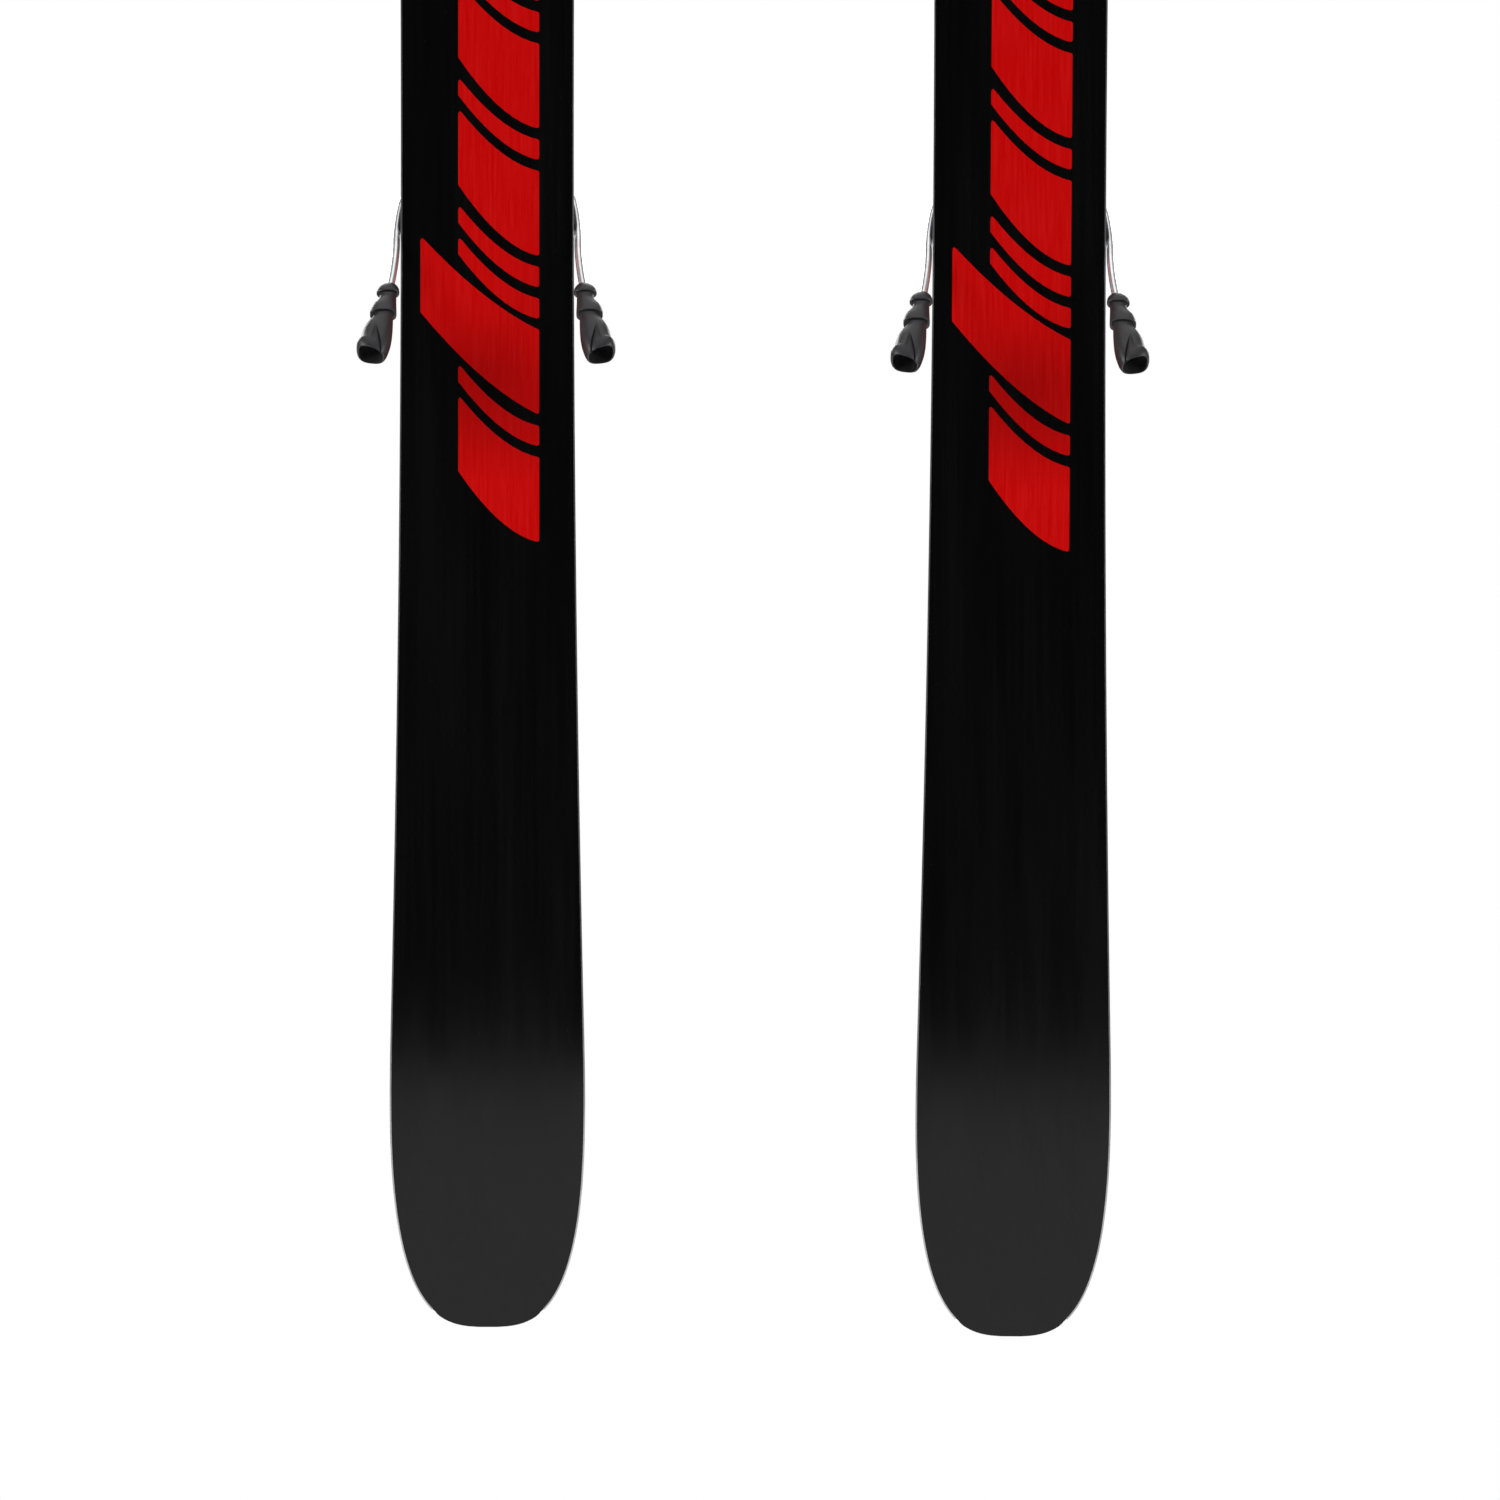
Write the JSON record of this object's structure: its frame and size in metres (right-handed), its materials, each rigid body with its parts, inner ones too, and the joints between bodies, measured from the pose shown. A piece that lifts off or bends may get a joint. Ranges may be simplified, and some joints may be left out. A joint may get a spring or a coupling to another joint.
{
  "type": "alpine ski pair with bindings",
  "caption": "Wide twin-tip alpine skis held upright, bases forward, with step-in toe and heel bindings that open and brakes that fold.",
  "frame": {"origin": "midway between the two skis at the shovels, 1.50 m above the left tail end and level with the running bases, where a rack holds the pair", "axes": "+Z along the skis from the tails to the tips, +Y from the running bases to the topsheets and bindings, +X across the pair from the left ski to the right ski as seen on the bases"},
  "size_m": [0.5017, 0.1651, 1.8561],
  "materials": {
    "running_base": "black sintered polyethylene, stone ground, with a red die-cut inlay",
    "steel_edge": "ground steel edge",
    "wood_core": "laminated wood core",
    "sidewall": "black ABS sidewall",
    "topsheet": "dark satin topsheet",
    "binding_plastic": "black glass-filled nylon",
    "binding_shell": "red satin moulded shell",
    "spring_steel": "oiled spring steel",
    "adjuster": "zinc-brass release-setting screw",
    "glide_plate": "grey low-friction plate",
    "screw_steel": "hardened screw and pin steel",
    "track_steel": "pressed steel track",
    "brake_wire": "bright spring wire",
    "brake_foot": "black moulded nylon"
  },
  "bodies": {
    "left_ski": {"left_base": "running_base", "left_edge_left": "steel_edge", "left_edge_right": "steel_edge", "left_core": "wood_core", "left_sidewall": "sidewall", "left_topsheet": "topsheet", "left_toe_base_plate": "binding_plastic", "left_toe_housing": "binding_shell", "left_toe_spring": "spring_steel", "left_toe_piston": "spring_steel", "left_toe_screw_left": "screw_steel", "left_toe_screw_right": "screw_steel", "left_heel_track": "track_steel", "left_heel_screw_left": "screw_steel", "left_heel_screw_right": "screw_steel", "left_brake_base": "binding_plastic"},
    "left_toe_wing_left_body": {"left_toe_wing_left": "binding_plastic"},
    "left_toe_wing_right_body": {"left_toe_wing_right": "binding_plastic"},
    "left_afd_body": {"left_afd_plate": "glide_plate"},
    "left_toe_adjuster_body": {"left_toe_adjust_screw": "adjuster"},
    "left_heel_carriage_body": {"left_heel_carriage": "binding_plastic", "left_heel_pivot_pin": "screw_steel"},
    "left_heel_cup_body": {"left_heel_housing": "binding_shell", "left_heel_spring": "spring_steel"},
    "left_heel_lever_body": {"left_heel_lever": "binding_plastic"},
    "left_heel_adjuster_body": {"left_heel_adjust_screw": "adjuster"},
    "left_brake_body": {"left_brake_pedal": "binding_plastic", "left_brake_wire": "brake_wire", "left_brake_foot_left": "brake_foot", "left_brake_foot_right": "brake_foot"},
    "right_ski": {"right_base": "running_base", "right_edge_left": "steel_edge", "right_edge_right": "steel_edge", "right_core": "wood_core", "right_sidewall": "sidewall", "right_topsheet": "topsheet", "right_toe_base_plate": "binding_plastic", "right_toe_housing": "binding_shell", "right_toe_spring": "spring_steel", "right_toe_piston": "spring_steel", "right_toe_screw_left": "screw_steel", "right_toe_screw_right": "screw_steel", "right_heel_track": "track_steel", "right_heel_screw_left": "screw_steel", "right_heel_screw_right": "screw_steel", "right_brake_base": "binding_plastic"},
    "right_toe_wing_left_body": {"right_toe_wing_left": "binding_plastic"},
    "right_toe_wing_right_body": {"right_toe_wing_right": "binding_plastic"},
    "right_afd_body": {"right_afd_plate": "glide_plate"},
    "right_toe_adjuster_body": {"right_toe_adjust_screw": "adjuster"},
    "right_heel_carriage_body": {"right_heel_carriage": "binding_plastic", "right_heel_pivot_pin": "screw_steel"},
    "right_heel_cup_body": {"right_heel_housing": "binding_shell", "right_heel_spring": "spring_steel"},
    "right_heel_lever_body": {"right_heel_lever": "binding_plastic"},
    "right_heel_adjuster_body": {"right_heel_adjust_screw": "adjuster"},
    "right_brake_body": {"right_brake_pedal": "binding_plastic", "right_brake_wire": "brake_wire", "right_brake_foot_left": "brake_foot", "right_brake_foot_right": "brake_foot"}
  },
  "joints": [
    {"name": "ski_spacing", "type": "slide", "parent": "left_ski", "child": "right_ski", "axis": [1, 0, 0], "range_m": [-0.15, 0.3]},
    {"name": "left_toe_wing_left_release", "type": "hinge", "parent": "left_ski", "child": "left_toe_wing_left_body", "pos_m": [-0.1915, 0.039, -0.465], "axis": [0, 1, 0], "range_deg": [0, 22], "stiffness_Nm_per_rad": 6, "springref_deg": -2.86},
    {"name": "left_toe_wing_right_release", "type": "hinge", "parent": "left_ski", "child": "left_toe_wing_right_body", "pos_m": [-0.1425, 0.039, -0.465], "axis": [0, -1, 0], "range_deg": [0, 22], "stiffness_Nm_per_rad": 6, "springref_deg": -2.86},
    {"name": "left_afd_slide", "type": "slide", "parent": "left_ski", "child": "left_afd_body", "axis": [1, 0, 0], "range_m": [-0.006, 0.006], "stiffness_N_per_m": 600},
    {"name": "left_toe_setting", "type": "hinge", "parent": "left_ski", "child": "left_toe_adjuster_body", "pos_m": [-0.167, 0.039, -0.42], "axis": [0, 0, 1], "continuous": true},
    {"name": "left_forward_pressure", "type": "slide", "parent": "left_ski", "child": "left_heel_carriage_body", "axis": [0, 0, 1], "range_m": [-0.01, 0.01]},
    {"name": "left_heel_cup_close", "type": "hinge", "parent": "left_heel_carriage_body", "child": "left_heel_cup_body", "pos_m": [-0.167, 0.049, -0.852], "axis": [1, 0, 0], "range_deg": [0, 30]},
    {"name": "left_heel_lever_lift", "type": "hinge", "parent": "left_heel_cup_body", "child": "left_heel_lever_body", "pos_m": [-0.167, 0.07771, -0.86627], "axis": [1, 0, 0], "range_deg": [0, 15]},
    {"name": "left_heel_setting", "type": "hinge", "parent": "left_heel_cup_body", "child": "left_heel_adjuster_body", "pos_m": [-0.167, 0.04399, -0.89068], "axis": [0, 0.5, 0.866], "continuous": true},
    {"name": "left_brake_fold", "type": "hinge", "parent": "left_ski", "child": "left_brake_body", "pos_m": [-0.167, 0.024, -0.778], "axis": [1, 0, 0], "range_deg": [0, 41], "stiffness_Nm_per_rad": 1.5, "springref_deg": -34.38},
    {"name": "right_toe_wing_left_release", "type": "hinge", "parent": "right_ski", "child": "right_toe_wing_left_body", "pos_m": [0.14913, 0.039, -0.47085], "axis": [0, 1, 0], "range_deg": [0, 22], "stiffness_Nm_per_rad": 6, "springref_deg": -2.86},
    {"name": "right_toe_wing_right_release", "type": "hinge", "parent": "right_ski", "child": "right_toe_wing_right_body", "pos_m": [0.19812, 0.039, -0.4712], "axis": [0, -1, 0], "range_deg": [0, 22], "stiffness_Nm_per_rad": 6, "springref_deg": -2.86},
    {"name": "right_afd_slide", "type": "slide", "parent": "right_ski", "child": "right_afd_body", "axis": [1, 0, -0.007], "range_m": [-0.006, 0.006], "stiffness_N_per_m": 600},
    {"name": "right_toe_setting", "type": "hinge", "parent": "right_ski", "child": "right_toe_adjuster_body", "pos_m": [0.17394, 0.039, -0.42603], "axis": [0.007, 0, 1], "continuous": true},
    {"name": "right_forward_pressure", "type": "slide", "parent": "right_ski", "child": "right_heel_carriage_body", "axis": [0.007, 0, 1], "range_m": [-0.01, 0.01]},
    {"name": "right_heel_cup_close", "type": "hinge", "parent": "right_heel_carriage_body", "child": "right_heel_cup_body", "pos_m": [0.17092, 0.049, -0.85802], "axis": [1, 0, -0.007], "range_deg": [0, 30]},
    {"name": "right_heel_lever_lift", "type": "hinge", "parent": "right_heel_cup_body", "child": "right_heel_lever_body", "pos_m": [0.17082, 0.07771, -0.87228], "axis": [1, 0, -0.007], "range_deg": [0, 15]},
    {"name": "right_heel_setting", "type": "hinge", "parent": "right_heel_cup_body", "child": "right_heel_adjuster_body", "pos_m": [0.17065, 0.04399, -0.89669], "axis": [0.006, 0.5, 0.866], "continuous": true},
    {"name": "right_brake_fold", "type": "hinge", "parent": "right_ski", "child": "right_brake_body", "pos_m": [0.17144, 0.024, -0.78402], "axis": [1, 0, -0.007], "range_deg": [0, 41], "stiffness_Nm_per_rad": 1.5, "springref_deg": -34.38}
  ],
  "couplings": [
    {"joint": "left_heel_lever_lift", "follows": "left_heel_cup_close", "ratio": 0.5},
    {"joint": "right_heel_lever_lift", "follows": "right_heel_cup_close", "ratio": 0.5}
  ]
}
